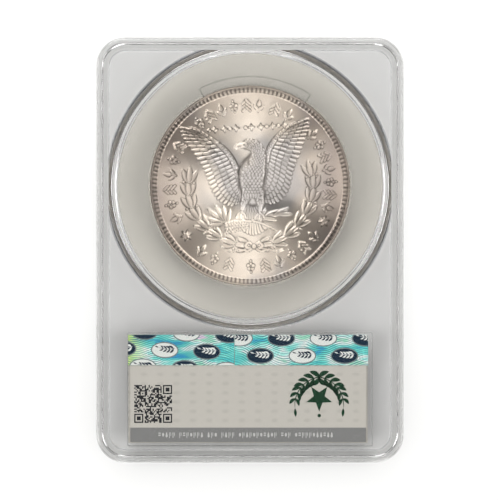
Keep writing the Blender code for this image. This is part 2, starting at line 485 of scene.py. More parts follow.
def makePocketCutter():
    # part of a thick ring, from inside the bore out to the pocket's wall
    s = insertShape
    reach = s["pocket"] - s["pocketStart"]
    bpy.ops.mesh.primitive_plane_add(size=1, rotation=(math.pi / 2, 0, 0))
    cutter = bpy.context.active_object
    cutter.scale = (reach, 2 * s["pocketDepth"], 1)
    cutter.location = (s["pocketStart"] + reach / 2, 0, s["half"])
    applyPlace(cutter)
    startEdit(cutter)
    bpy.ops.mesh.spin(steps=24, angle=math.radians(s["pocketAngle"]), center=(0, 0, 0), axis=(0, 0, 1))
    endEdit(0.002 * mm)
    cutter.rotation_euler = (0, 0, math.radians(s["pocketTurn"] + s["pocketAngle"] / 2))
    applyPlace(cutter)
    useModifier(cutter, "BEVEL", width=s["pocketSlope"], segments=1, limit_method="ANGLE",
                angle_limit=math.radians(50))
    return cutter


def makeInsert():
    s = insertShape
    outer, half, r = s["outer"], s["half"], s["round"]
    points = [(s["grip"], -half), (s["grip"], -s["seatHalf"]), (s["seat"], -s["seatHalf"])]
    points += [(s["seat"], s["seatHalf"]), (s["grip"], s["seatHalf"]), (s["grip"], half)]
    points += arcPoints(outer - r, half - r, r, 90, 0, 4) + arcPoints(outer - r, r - half, r, 0, -90, 4)
    ring = spinProfile("coinInsert", points, Vector((0, 0, 0)), s["steps"])
    combine(ring, makePocketCutter(), "DIFFERENCE")
    useModifier(ring, "BEVEL", width=0.06 * mm, segments=2, limit_method="ANGLE",
                angle_limit=math.radians(50))
    ring.location = (coinCentre.x, coinCentre.y, middleZ)
    applyPlace(ring)
    finishSmooth(ring, 35)
    ring.data.materials.clear()
    ring.data.materials.append(makeClearPlastic("insertPlastic", insertPlastic))
    standFor(ring, ["coin_insert"])


makeInsert()
print("insert made")


# the coin: both designs are raised from a field of points, in radii of the coin

coinShape = {
    "turns": 720,
    "backStep": 0.165 * mm,
    "frontStep": 0.23 * mm,
    "rimInner": 0.978,
    "beadInner": 0.925,
    "beads": 144,
    "fieldDepth": 0.22 * mm,
    "reliefHeight": 0.26 * mm,
    "reeds": 180,
    "reedDepth": 0.05 * mm,
    "rimRound": 0.12 * mm,
}


class Relief:
    # collects heights (0 field to 1 highest) and dark outline lines of painted shade over scattered points
    def __init__(self, x, y):
        self.x, self.y = x, y
        self.high = np.zeros(len(x))
        self.line = np.zeros(len(x))

    def near(self, low, high, pad):
        return np.nonzero((self.x > low[0] - pad) & (self.x < high[0] + pad)
                          & (self.y > low[1] - pad) & (self.y < high[1] + pad))[0]

    def raiseTo(self, where, part, height, power=0.6, base=0.0):
        # part is 1 on the middle line and 0 at the edge, negative outside
        inside = part > 0
        spots = where[inside]
        value = base + height * np.power(part[inside], power)
        self.high[spots] = np.maximum(self.high[spots], value)
        # painted shade: a dark line along each shape's edge
        edge = np.exp(-(part / 0.22) ** 2)
        self.line[where] = np.maximum(self.line[where] * (1 - (part > 0.25)), edge)

    def stroke(self, points, widths, height, power=0.6, base=0.0):
        # a rounded ridge along a line of points, with a width at each
        points = np.array(points, float)
        widths = np.interp(np.linspace(0, 1, len(points)), np.linspace(0, 1, len(widths)), widths)
        pad = widths.max() * 1.4
        where = self.near(points.min(0), points.max(0), pad)
        x, y = self.x[where], self.y[where]
        best = np.full(len(where), -9.0)
        for (ax, ay), (bx, by), wa, wb in zip(points, points[1:], widths, widths[1:]):
            along = (bx - ax) ** 2 + (by - ay) ** 2
            t = np.clip(((x - ax) * (bx - ax) + (y - ay) * (by - ay)) / max(along, 1e-9), 0, 1)
            gap = np.hypot(x - ax - t * (bx - ax), y - ay - t * (by - ay))
            best = np.maximum(best, 1 - gap / (wa + (wb - wa) * t))
        keep = best > -0.6
        self.raiseTo(where[keep], best[keep], height, power, base)

    def leaf(self, root, angle, length, width, height, base=0.0, power=0.7):
        # a pointed leaf with a vein down its middle
        away = np.array((math.cos(angle), math.sin(angle)))
        tip = (root[0] + away[0] * length, root[1] + away[1] * length)
        where = self.near(np.minimum(root, tip), np.maximum(root, tip), width)
        x, y = self.x[where] - root[0], self.y[where] - root[1]
        t = np.clip((x * away[0] + y * away[1]) / length, 0, 1)
        side = -x * away[1] + y * away[0]
        off = np.hypot(x - t * length * away[0], y - t * length * away[1])
        half = width * np.sqrt(np.clip(np.sin(np.pi * np.clip(t, 0.03, 0.97)), 0, 1)) * (1 - 0.25 * t)
        part = 1 - off / np.maximum(half, 1e-4)
        vein = 1 - 0.35 * np.exp(-(side / (width * 0.22)) ** 2)
        keep = part > -0.6
        self.raiseTo(where[keep], part[keep], height, power, base)
        inside = where[part > 0.1]
        self.high[inside] = np.minimum(self.high[inside], base + height) * vein[part > 0.1]

    def dot(self, centre, radius, height, power=0.5, base=0.0):
        self.stroke([centre, (centre[0] + 1e-5, centre[1])], [radius, radius], height, power, base)

    def star(self, centre, radius, turn, height, points=6):
        where = self.near((centre[0] - radius, centre[1] - radius),
                          (centre[0] + radius, centre[1] + radius), 0.01)
        x, y = self.x[where] - centre[0], self.y[where] - centre[1]
        angle = np.mod(np.arctan2(y, x) - turn, 2 * math.pi / points) - math.pi / points
        reach = radius * (0.42 + 0.58 * np.abs(angle) / (math.pi / points))
        part = 1 - np.hypot(x, y) / reach
        keep = part > -0.3
        self.raiseTo(where[keep], part[keep], height, 0.5)


def curveThrough(points, count):
    # evenly spaced points on a smooth curve through a few given ones
    points = np.array(points, float)
    padded = np.vstack((2 * points[0] - points[1], points, 2 * points[-1] - points[-2]))
    found = []
    for step in np.linspace(0, len(points) - 1.000001, count):
        i, t = int(step), step - int(step)
        p0, p1, p2, p3 = padded[i:i + 4]
        found.append(0.5 * (2 * p1 + (p2 - p0) * t + (2 * p0 - 5 * p1 + 4 * p2 - p3) * t ** 2
                            + (3 * p1 - p0 - 3 * p2 + p3) * t ** 3))
    return np.array(found)


def polarPoint(radius, degrees):
    # degrees run clockwise from the top
    return (radius * math.sin(math.radians(degrees)), radius * math.cos(math.radians(degrees)))


def borderSigns(relief, radius, size, words, inward=False):
    # sprigs, rosettes and wheat ears in a border; each word is its first angle, count and pitch
    for word, (start, count, pitch) in enumerate(words):
        for sign in range(count):
            place = start + sign * pitch
            up = math.radians(90 - place + (180 if inward else 0))
            away = np.array((math.cos(up), math.sin(up)))
            across = np.array((away[1], -away[0]))
            foot = np.array(polarPoint(radius, place)) - away * size / 2
            kind = (sign + word) % 3
            if kind == 0:   # a sprig of three leaves
                relief.stroke([foot, foot + away * size * 0.5], [0.012, 0.010], 0.5, 0.5)
                relief.leaf(foot + away * size * 0.30, up, size * 0.72, 0.026, 0.64)
                for side in (-1, 1):
                    relief.leaf(foot + away * size * 0.12, up - side * 0.85, size * 0.60, 0.022, 0.58)
            elif kind == 1:   # a rosette of petals with a bead above and below
                centre = foot + away * size * 0.5
                for petal in range(5):
                    turn = up + petal * 2 * math.pi / 5
                    relief.dot(centre + 0.026 * np.array((math.cos(turn), math.sin(turn))), 0.019, 0.60)
                relief.dot(foot + away * size * 0.02, 0.013, 0.5)
                relief.dot(foot + away * size * 0.98, 0.013, 0.5)
            else:   # a wheat ear of three chevrons
                for level in (0.0, 0.30, 0.60):
                    for side in (-1, 1):
                        relief.stroke([foot + away * size * (level + 0.34),
                                       foot + away * size * level + across * side * size * 0.32],
                                       [0.014, 0.013], 0.6, 0.5)


eagle = {
    "wings": [
        # root is the leading edge from its tip to the shoulder and down the body, tips where feathers end
        {
            "root": [(-0.60, 0.575), (-0.50, 0.54), (-0.40, 0.478), (-0.27, 0.375), (-0.19, 0.28),
                     (-0.14, 0.17), (-0.115, 0.06), (-0.105, -0.03), (-0.10, -0.09)],
            "tips": [(-0.69, 0.578), (-0.655, 0.49), (-0.60, 0.405), (-0.53, 0.305), (-0.465, 0.20),
                     (-0.425, 0.11), (-0.39, 0.01), (-0.345, -0.085), (-0.28, -0.155),
                     (-0.19, -0.19), (-0.11, -0.165)],
        },
        {
            "root": [(0.50, 0.640), (0.40, 0.60), (0.31, 0.53), (0.23, 0.435), (0.18, 0.335),
                     (0.165, 0.235), (0.155, 0.13), (0.14, 0.03), (0.12, -0.06)],
            "tips": [(0.575, 0.665), (0.57, 0.58), (0.545, 0.495), (0.51, 0.40), (0.475, 0.30),
                     (0.435, 0.205), (0.41, 0.115), (0.39, 0.015), (0.355, -0.07),
                     (0.29, -0.145), (0.205, -0.17), (0.13, -0.15)],
        },
    ],
    "feathers": 25,
    "coverts": ((0.74, 24, 0.60), (0.50, 22, 0.70), (0.28, 22, 0.80)),
}


def raiseWing(relief, wing):
    root = curveThrough(wing["root"], 100)
    feathers = eagle["feathers"]
    tips = curveThrough(wing["tips"], feathers)
    for i in reversed(range(feathers)):   # long feathers, each over the one nearer the body
        start = root[int(22 + 75 * (i + 0.5) / feathers)]
        bend = (start + tips[i]) / 2 + np.array((0, 0.012))
        relief.stroke(curveThrough([start, bend, tips[i]], 7), [0.010, 0.017, 0.021, 0.017], 0.52, 0.9,
                      base=0.04)
    for reach, count, height in eagle["coverts"]:   # shorter rows over them
        ends = curveThrough(wing["tips"], count)
        for i in reversed(range(count)):
            start = root[int(14 + 83 * (i + 0.5) / count)]
            tip = start + (ends[i] - start) * reach
            relief.stroke([start + (tip - start) * 0.5, tip], [0.016, 0.019], height, 0.8)
    relief.stroke(root[:62:4], [0.010, 0.020, 0.026, 0.030], 0.84, 0.7)
    for i in range(2, 60, 5):   # scales along the leading edge
        relief.dot(root[i], 0.014, 0.10, base=0.80)


def raiseTail(relief):
    # a broad tail that ends in a scalloped half round
    for i in range(9):
        spread = (i - 4) / 4
        end = (0.036 + spread * 0.115, -0.475 + 0.055 * spread ** 2)
        relief.stroke([(0.03 + spread * 0.035, -0.14), (0.034 + spread * 0.075, -0.36), end],
                      [0.012, 0.016, 0.022], 0.45, 0.8)


def raiseBranchAndArrows(relief):
    branch = [(-0.25, -0.375), (-0.12, -0.352), (0.02, -0.352), (0.14, -0.385), (0.26, -0.445)]
    relief.stroke(curveThrough(branch, 14), [0.010, 0.012, 0.010], 0.62)
    relief.stroke(curveThrough([(0.02, -0.345), (0.12, -0.315), (0.24, -0.285)], 8), [0.010, 0.008], 0.55)
    for i in range(3):   # three shafts with feathered ends at lower left
        relief.stroke([(-0.235, -0.475 + i * 0.036), (-0.02, -0.415 + i * 0.022)], [0.008, 0.008], 0.42)
        for j in range(7):
            foot = (-0.222 + j * 0.026, -0.474 + i * 0.036 + j * 0.0065)
            relief.stroke([foot, (foot[0] - 0.022, foot[1] + 0.022)], [0.009, 0.006], 0.6)
    # where each leaf starts, its angle and its length
    leaves = [(-0.25, -0.36, 143, 0.22), (-0.25, -0.35, 122, 0.19), (-0.24, -0.35, 100, 0.15),
              (-0.26, -0.37, 165, 0.17), (-0.27, -0.38, 186, 0.14), (-0.22, -0.36, 80, 0.12),
              (0.14, -0.31, 26, 0.15), (0.17, -0.30, 8, 0.17), (0.24, -0.285, 24, 0.16),
              (0.27, -0.285, 2, 0.15), (0.13, -0.32, -8, 0.14), (0.10, -0.31, 52, 0.10)]
    for x, y, angle, length in leaves:
        relief.leaf((x, y), math.radians(angle), length, 0.027, 0.6)


def raiseBody(relief):
    trunk = [(0.075, 0.27), (0.03, 0.16), (0.018, 0.06), (0.022, -0.05), (0.028, -0.12)]
    relief.stroke(curveThrough(trunk, 16), [0.080, 0.122, 0.124, 0.105, 0.080], 1.0, 0.5)
    for hip, knee, foot in (((-0.03, -0.07), (-0.06, -0.17), (-0.085, -0.26)),
                            ((0.09, -0.07), (0.105, -0.17), (0.10, -0.27))):
        relief.stroke([hip, knee], [0.060, 0.040], 0.90, 0.6)
        relief.stroke([knee, foot], [0.032, 0.016], 0.78, 0.6)
        for toe in (-0.04, -0.005, 0.035):
            relief.stroke(curveThrough([foot, (foot[0] + toe, foot[1] - 0.03),
                                        (foot[0] + toe * 1.3, foot[1] - 0.065)], 5),
                          [0.014, 0.008], 0.74)
        for i in range(6):   # thigh feathers
            at = (hip[0] + (knee[0] - hip[0]) * i / 5 + 0.022 * (-1) ** i,
                  hip[1] + (knee[1] - hip[1]) * i / 5)
            relief.stroke([at, (at[0], at[1] - 0.028)], [0.012, 0.006], 0.10, 0.9, base=0.84)
    # long breast feathers in staggered rows, flatter towards the sides
    for row in range(12):
        y = 0.22 - row * 0.028
        middle = 0.02 + 0.25 * max(y - 0.08, 0)
        half = float(np.interp(y, (-0.1, 0.0, 0.14, 0.24), (0.07, 0.10, 0.11, 0.08)))
        count = 5
        for i in range(count + row % 2):
            x = middle + half * (2 * (i + 0.5 - 0.5 * (row % 2)) / count - 1) * 0.92
            lean = (x - middle) * 0.12
            level = 0.9 * (1 - 0.55 * ((x - middle) / 0.125) ** 2)
            relief.stroke([(x, y), (x - lean, y - 0.034)], [0.016, 0.007], 0.17, 0.9, base=level)


def raiseHead(relief):
    neck = [(0.07, 0.25), (0.082, 0.32), (0.055, 0.385), (0.0, 0.41), (-0.035, 0.41)]
    relief.stroke(curveThrough(neck, 14), [0.088, 0.066, 0.058, 0.052, 0.044], 1.0, 0.5)
    relief.stroke([(-0.03, 0.408), (-0.07, 0.405)], [0.043, 0.028], 0.97, 0.55)
    relief.stroke(curveThrough([(-0.06, 0.416), (-0.105, 0.414), (-0.135, 0.396), (-0.142, 0.368)], 8),
                  [0.022, 0.017, 0.006], 0.9)
    relief.stroke([(-0.06, 0.388), (-0.112, 0.378)], [0.013, 0.007], 0.7)
    relief.stroke([(-0.03, 0.436), (-0.075, 0.430)], [0.010, 0.006], 0.14, base=0.95)   # brow
    line = curveThrough([(0.045, 0.10), (0.055, 0.18)] + neck, 24)
    for step in range(22, 0, -1):   # hackles that follow the neck round and run out on the breast
        wide = 0.050 + 0.045 * (1 - step / 22)
        ahead = (line[step - 1] - line[step]) / np.hypot(*(line[step - 1] - line[step]))
        across = np.array((-ahead[1], ahead[0]))
        for offset in (-0.72, -0.36, 0.0, 0.36, 0.72):
            at = line[step] + across * wide * (offset + 0.18 * (step % 2))
            relief.stroke([at, at + ahead * 0.030], [0.014, 0.005], 0.15, 0.9,
                          base=0.95 * (1 - 0.40 * offset ** 2))
    # the eye: a small hollow with painted shade in it
    spot = np.hypot(relief.x + 0.058, relief.y - 0.410) < 0.011
    relief.high[spot] *= 0.6
    relief.line[spot] = 1


wreath = {
    "left": [(0.01, -0.60), (-0.16, -0.575), (-0.33, -0.49), (-0.47, -0.38), (-0.565, -0.25),
             (-0.61, -0.10), (-0.61, 0.05), (-0.585, 0.20)],
    "right": [(0.07, -0.60), (0.24, -0.565), (0.39, -0.47), (0.51, -0.34), (0.59, -0.19), (0.63, -0.03),
              (0.61, 0.12), (0.555, 0.26)],
    "clusters": 8,
}


def raiseWreath(relief, branch):
    stem = curveThrough(branch, 120)
    relief.stroke(stem[::6], [0.011, 0.007], 0.34)
    for i in range(wreath["clusters"]):
        spot = int((i + 0.15) / wreath["clusters"] * 112)
        root, ahead = stem[spot], stem[min(spot + 5, 119)]
        angle = math.atan2(ahead[1] - root[1], ahead[0] - root[0])
        normal = np.array((-math.sin(angle), math.cos(angle)))
        for side, length in ((-1, 0.138), (1, 0.138), (0, 0.160)):
            relief.leaf(root + normal * side * 0.012, angle + side * 0.44, length, 0.033,
                        0.56 + 0.12 * (side == 0))
        if i % 2:
            relief.dot(root + normal * 0.052, 0.014, 0.5)
            relief.dot(root - normal * 0.052, 0.014, 0.5)


def raiseBow(relief):
    knot = (0.04, -0.605)
    for side in (-1, 1):
        loop = [knot, (knot[0] + side * 0.05, knot[1] + 0.04), (knot[0] + side * 0.085, knot[1] + 0.008),
                (knot[0] + side * 0.045, knot[1] - 0.02), knot]
        relief.stroke(curveThrough(loop, 18), [0.012, 0.016, 0.012], 0.66)
        tail = [knot, (knot[0] + side * 0.06, knot[1] - 0.045), (knot[0] + side * 0.14, knot[1] - 0.030),
                (knot[0] + side * 0.22, knot[1] - 0.050), (knot[0] + side * 0.29, knot[1] - 0.030)]
        relief.stroke(curveThrough(tail, 18), [0.014, 0.011, 0.008], 0.55)
    relief.dot(knot, 0.026, 0.75)


def backDesign(relief):
    raiseWreath(relief, wreath["left"])
    raiseWreath(relief, wreath["right"])
    raiseBow(relief)
    raiseTail(relief)
    raiseBranchAndArrows(relief)
    for wing in eagle["wings"]:
        raiseWing(relief, wing)
    raiseBody(relief)
    raiseHead(relief)
    borderSigns(relief, 0.805, 0.115, ((-114, 6, 10.6), (-38.7, 6, 9.0), (18.2, 2, 10.2), (50.6, 7, 9.2)))
    borderSigns(relief, 0.805, 0.115, ((216.8, 3, -11), (179.4, 6, -10.2)), inward=True)
    relief.star((-0.635, -0.494), 0.056, 0.3, 0.6)
    relief.star((0.734, -0.354), 0.056, 0.1, 0.6)
    place = 0
    for count in (2, 3, 2, 5):   # a small straight row of beads and lozenges above the head
        for sign in range(count):
            at = (-0.41 + place * 0.058, 0.555 + place * 0.0038)
            if (sign + count) % 2:
                relief.star(at, 0.036, 0.1, 0.5, 4)
            else:
                relief.dot(at, 0.019, 0.5)
            place += 1
        place += 0.65


def frontDesign(relief):
    # a many-pointed star in a laurel ring, with stars round the border
    for i in range(12):
        turn = math.radians(i * 30)
        long = 0.46 if i % 2 == 0 else 0.33
        relief.leaf((0, 0), turn, long, 0.062, 0.75, power=0.9)
    relief.dot((0, 0), 0.15, 0.9, 0.4)
    for i in range(24):
        relief.dot(polarPoint(0.115, i * 15), 0.011, 0.12, base=0.8)
    for i in range(36):
        root = polarPoint(0.60, i * 10)
        along = math.radians(-i * 10)
        for side, length in ((-1, 0.11), (1, 0.11), (0, 0.12)):
            relief.leaf(root, along + side * 0.55, length, 0.024, 0.5)
    for i in range(18):
        relief.star(polarPoint(0.815, i * 20 + 10), 0.056, math.radians(90 - i * 20 - 10), 0.55, 5)
        relief.dot(polarPoint(0.815, i * 20), 0.018, 0.4)


def ringCounts(step):
    # radii of the rings from the rim inwards, and how many points each has
    rings, radius = [], 1.0
    while radius > 0.02:
        turns = coinShape["turns"]
        for limit in (0.55, 0.27, 0.13, 0.06):
            if radius < limit:
                turns //= 2
        rings.append((radius, turns))
        radius -= step / coinRadius
    return rings


def coinFace(design, step, side, verts, faces, shadeMarks):
    # adds one side of the coin, from the rim's top edge in to the middle
    s = coinShape
    rings = ringCounts(step)
    rings = [((coinRadius - s["rimRound"]) / coinRadius * r, n) for r, n in rings]
    radius = np.concatenate([np.full(n, r) for r, n in rings] + [np.zeros(1)])
    turn = np.concatenate([np.arange(n) * 2 * math.pi / n for _, n in rings] + [np.zeros(1)])
    x, y = radius * np.sin(turn), radius * np.cos(turn)
    relief = Relief(x, y)
    design(relief)
    height = relief.high * s["reliefHeight"]
    # beads between the field and the rim
    across = (radius - s["beadInner"]) / (s["rimInner"] - s["beadInner"])
    bead = np.clip(1 - (2 * across - 1) ** 2, 0, 1) ** 0.5 * (0.5 + 0.5 * np.cos(s["beads"] * turn)) ** 0.7
    inBeads = (across > 0) & (across < 1)
    height = np.where(inBeads, 0.2 * s["fieldDepth"] + bead * s["fieldDepth"] * 0.7, height)
    # painted shade in the gaps between the beads
    relief.line[inBeads] = np.maximum(relief.line, 0.25 + 0.75 * (1 - bead))[inBeads]
    rise = np.clip((radius - s["rimInner"]) / 0.006, 0, 1)
    # painted shade over the whole rim
    relief.line[radius > s["rimInner"]] = 0.58
    height = np.where(radius > s["rimInner"] - 0.004, np.maximum(height, s["fieldDepth"] * rise ** 0.5),
                      height)
    height = np.minimum(height, s["fieldDepth"] * 1.25)
    half = (coinHigh.z - coinLow.z) / 2
    z = side * (half - s["fieldDepth"] + np.minimum(height, s["fieldDepth"] * 1.12))
    start = len(verts)
    points = np.stack((coinCentre.x + side * x * coinRadius, coinCentre.y + y * coinRadius, middleZ + z), 1)
    verts.extend(points.tolist())
    shadeMarks.extend(np.clip(relief.line, 0, 1).tolist())
    first = start
    for (_, n), (_, m) in zip(rings, rings[1:]):
        second = first + n
        for i in range(m):
            if n == m:
                j = (i + 1) % n
                quad = (first + i, first + j, second + j, second + i)
            else:
                a, b, c = first + 2 * i, first + 2 * i + 1, first + (2 * i + 2) % n
                d, e = second + i, second + (i + 1) % m
                faces.append((a, b, d))
                faces.append((b, e, d))
                quad = (b, c, e)
            faces.append(quad)
        first = second
    last = rings[-1][1]
    for i in range(last):
        faces.append((first + i, first + (i + 1) % last, len(verts) - 1))
    return start


def makeCoin():
    s = coinShape
    verts, faces, shadeMarks = [], [], []
    top = coinFace(backDesign, s["backStep"], 1, verts, faces, shadeMarks)
    bottom = coinFace(frontDesign, s["frontStep"], -1, verts, faces, shadeMarks)
    # the reeded edge between them
    turns, half = s["turns"], (coinHigh.z - coinLow.z) / 2
    turn = np.arange(turns) * 2 * math.pi / turns
    reed = coinRadius - s["reedDepth"] * (0.5 - 0.5 * np.cos(s["reeds"] * turn))
    loops = [[top + i for i in range(turns)]]
    for height, radius in ((half - s["rimRound"] * 0.35, coinRadius - s["rimRound"] * 0.3),
                           (half - s["rimRound"], reed), (s["rimRound"] - half, reed),
                           (s["rimRound"] * 0.35 - half, coinRadius - s["rimRound"] * 0.3)):
        start = len(verts)
        ring = np.stack((coinCentre.x + radius * np.sin(turn), coinCentre.y + radius * np.cos(turn),
                         np.full(turns, middleZ + height)), 1)
        verts.extend(ring.tolist())
        # painted shade in the grooves of the reeded edge, over an edge darkened throughout
        shadeMarks.extend((0.4 + 0.5 * (0.5 - 0.5 * np.cos(s["reeds"] * turn))).tolist())
        loops.append([start + i for i in range(turns)])
    loops.append([bottom + (-i) % turns for i in range(turns)])
    for upper, lower in zip(loops, loops[1:]):
        for i in range(turns):
            j = (i + 1) % turns
            faces.append((upper[i], lower[i], lower[j], upper[j]))
    mesh = bpy.data.meshes.new("silverCoin")
    mesh.from_pydata(verts, [], faces)
    mesh.update()
    coin = bpy.data.objects.new("silverCoin", mesh)
    bpy.context.scene.collection.objects.link(coin)
    startEdit(coin)
    endEdit()
    # the painted shade goes to the material as the outline attribute
    attribute = coin.data.attributes.new("outline", "FLOAT", "POINT")
    attribute.data.foreach_set("value", np.array(shadeMarks, np.float32))
    coin.data.shade_smooth()
    coin.data.materials.append(makeSilver())
    print("coin has", sum(len(p.vertices) - 2 for p in coin.data.polygons), "triangles")
    standFor(coin, ["coin"])


silverFinish = {
    "bright": (0.84, 0.755, 0.655),
    "warm": (0.48, 0.39, 0.315),
    "cool": (0.47, 0.445, 0.43),
    # painted shade for the coin's darker sides
    "side": (0.33, 0.27, 0.235),
    # painted shade for the relief's outlines, hollows, bead gaps, rim and reeds
    "paintedCreaseShade": (0.07, 0.058, 0.048),
    "roughness": 0.33,
    "frosted": 0.16,
    "heartShade": 0.75,
    "heartAnisotropy": 0.6,
    "anisotropy": 1.0,
    "deviceRise": (0.02 * mm, 0.16 * mm),   # heights above the field between which a device turns frosted
}


def makeSilver():
    f = silverFinish
    material, tree, shader = newMaterial("mintSilver")
    place = objectPlace(tree)
    shift = (-coinCentre.x, -coinCentre.y, -middleZ)
    centred = addNode(tree, "ShaderNodeMapping", {"Vector": place, "Location": shift})
    split = splitNode(tree, centred)
    radius = vectorNode(tree, "LENGTH", centred).outputs["Value"]
    # toning drifts in from the rim in soft warm and grey patches
    cloud = noiseNode(tree, place, 120.0, 4.0, Roughness=0.6)
    drift = noiseNode(tree, place, 75.0, 2.0)
    outward = rangeNode(tree, radius, 0.35 * coinRadius, coinRadius, 0.1, 1.1)
    toned = mathNode(tree, "MULTIPLY", cloud, outward)
    colour = mixColour(tree, toned, f["bright"], f["warm"])
    patch = rangeNode(tree, drift, 0.50, 0.62, 0.0, 0.9)
    colour = mixColour(tree, patch, colour, f["cool"])
    # painted shade: both sides are darker than the top and the bottom, like the lustre's dark sectors,
    # broken into patches
    beside = mathNode(tree, "ABSOLUTE", split.outputs["X"])
    paintedSideShade = rangeNode(tree, beside, 0.35 * coinRadius, 0.85 * coinRadius, 0.0, 1.4)
    paintedSideShade = mathNode(tree, "MULTIPLY", paintedSideShade, drift)
    colour = mixColour(tree, paintedSideShade, colour, f["side"])
    # painted shade along the relief's outlines and in its hollows is strong near the rim and soft on the
    # devices in the middle
    heart = rangeNode(tree, radius, 0.68 * coinRadius, 0.35 * coinRadius)
    strength = rangeNode(tree, heart, 0.0, 1.0, 0.95, f["heartShade"])
    outline = addNode(tree, "ShaderNodeAttribute", attribute_name="outline")
    dark = mathNode(tree, "MULTIPLY", outline.outputs["Fac"], strength)
    colour = mixColour(tree, dark, colour, f["paintedCreaseShade"])
    feed(tree, colour, shader.inputs["Base Color"])
    # struck flow lines, running out from the middle
    angle = mathNode(tree, "ARCTAN2", split.outputs["Y"], split.outputs["X"])
    polar = addNode(tree, "ShaderNodeCombineXYZ", {"X": angle, "Y": radius})
    wide = addNode(tree, "ShaderNodeMapping", {"Vector": polar, "Scale": (60, 700, 1)})
    flow = noiseNode(tree, wide, 1.0, 3.0)
    gloss = rangeNode(tree, flow, 0.3, 0.7, f["roughness"] * 0.9, f["roughness"] * 1.12)
    # the raised devices are frosted and the field between them is brilliant
    field = (coinHigh.z - coinLow.z) / 2 - coinShape["fieldDepth"]
    top = mathNode(tree, "ABSOLUTE", split.outputs["Z"])
    device = rangeNode(tree, top, *(field + rise for rise in f["deviceRise"]))
    device = mathNode(tree, "MULTIPLY", device, heart)
    lift = mathNode(tree, "MULTIPLY", device, f["frosted"])
    rough = mathNode(tree, "ADD", gloss, lift)
    feed(tree, rough, shader.inputs["Roughness"])
    shader.inputs["Metallic"].default_value = 1.0
    grain = rangeNode(tree, device, 0.0, 1.0, f["anisotropy"], f["heartAnisotropy"])
    feed(tree, grain, shader.inputs["Anisotropic"])
    tangent = addNode(tree, "ShaderNodeTangent", direction_type="RADIAL", axis="Z")
    feed(tree, tangent, shader.inputs["Tangent"])
    bump = addNode(tree, "ShaderNodeBump", {"Height": cloud, "Strength": 0.3, "Distance": 0.00004})
    feed(tree, bump, shader.inputs["Normal"])
    return material


makeCoin()
print("coin made")


# printed shapes: flat outlines given the thickness of ink

printing = {"inkThick": 0.012 * mm, "sheetBevel": 0.04 * mm}


def clipOutline(outline, low, high):
    # keeps the part of an outline that lies inside a rectangle
    for axis, limit, above in ((0, low[0], True), (0, high[0], False), (1, low[1], True),
                               (1, high[1], False)):
        kept = []
        for a, b in zip(outline, outline[1:] + outline[:1]):
            insideA, insideB = (a[axis] >= limit) == above, (b[axis] >= limit) == above
            if insideA:
                kept.append(a)
            if insideA != insideB:
                t = (limit - a[axis]) / (b[axis] - a[axis])
                kept.append((a[0] + t * (b[0] - a[0]), a[1] + t * (b[1] - a[1])))
        outline = kept
    return outline if len(outline) > 2 else []


def boxOutline(left, low, right, high):
    return [(left, low), (right, low), (right, high), (left, high)]


def ovalOutline(middle, width, height, tilt=0.0, steps=40):
    found = []
    for step in range(steps):
        turn = 2 * math.pi * step / steps
        x, y = width / 2 * math.cos(turn), height / 2 * math.sin(turn)
        found.append((middle[0] + x * math.cos(tilt) - y * math.sin(tilt),
                      middle[1] + x * math.sin(tilt) + y * math.cos(tilt)))
    return found


def leafOutline(root, angle, length, width, bend=0.15, steps=9):
    # a pointed leaf, slightly curved to one side
    found = []
    for side in (1, -1):
        for step in range(steps + 1):
            t = step / steps if side > 0 else 1 - step / steps
            if side < 0 and step in (0, steps):
                continue
            bow = math.sin(math.pi * t)
            across = side * width / 2 * bow ** 0.8 + bend * length * bow * 0.5
            along = t * length
            found.append((root[0] + along * math.cos(angle) - across * math.sin(angle),
                          root[1] + along * math.sin(angle) + across * math.cos(angle)))
    return found


def lineOutline(points, width):
    # a line of even thickness with narrow ends
    points = np.array(points)
    ahead = np.gradient(points, axis=0)
    across = np.stack((-ahead[:, 1], ahead[:, 0]), 1) / np.linalg.norm(ahead, axis=1)[:, None]
    swell = np.sin(np.linspace(0.15, math.pi - 0.15, len(points))) * 1.6
    half = width / 2 * np.clip(swell, 0.2, 1)[:, None]
    return [tuple(p) for p in points + across * half] + [tuple(p) for p in (points - across * half)[::-1]]


def starOutline(middle, radius, points=5, turn=math.pi / 2):
    return [(middle[0] + radius * (1, 0.42)[i % 2] * math.cos(turn + math.pi * i / points),
             middle[1] + radius * (1, 0.42)[i % 2] * math.sin(turn + math.pi * i / points))
             for i in range(2 * points)]


def printShapes(name, outlines, top, thickness, material):
    shape = bmesh.new()
    for outline in outlines:
        shape.faces.new([shape.verts.new((x, y, top)) for x, y in outline])
    piece = pieceFromMesh(name, shape)
    startEdit(piece)
    extrudeBy(-thickness)
    endEdit()
    piece.data.materials.append(material)
    return piece


def joinTo(piece, others):
    makeActive(piece)
    for other in others:
        other.select_set(True)
    bpy.ops.object.join()


def makeSheet(name, low, high, material):
    # a sheet with softly worn edges, filling a box
    bpy.ops.mesh.primitive_cube_add(size=1, location=(low + high) / 2)
    sheet = bpy.context.active_object
    sheet.name = sheet.data.name = name
    sheet.scale = high - low
    applyPlace(sheet)
    bevel = min(printing["sheetBevel"], (high.z - low.z) * 0.3)
    useModifier(sheet, "BEVEL", width=bevel, segments=2, limit_method="ANGLE")
    sheet.data.materials.clear()
    sheet.data.materials.append(material)
    return sheet


def inkMaterial(name, colour, worn, roughness):
    material, tree, shader = newMaterial(name)
    speck = noiseNode(tree, objectPlace(tree), 2600.0, 3.0)
    sharp = rangeNode(tree, speck, 0.52, 0.75)
    feed(tree, mixColour(tree, sharp, colour, worn), shader.inputs["Base Color"])
    shader.inputs["Roughness"].default_value = roughness
    shader.inputs["Specular IOR Level"].default_value = 0.15
    return material


# the two paper labels

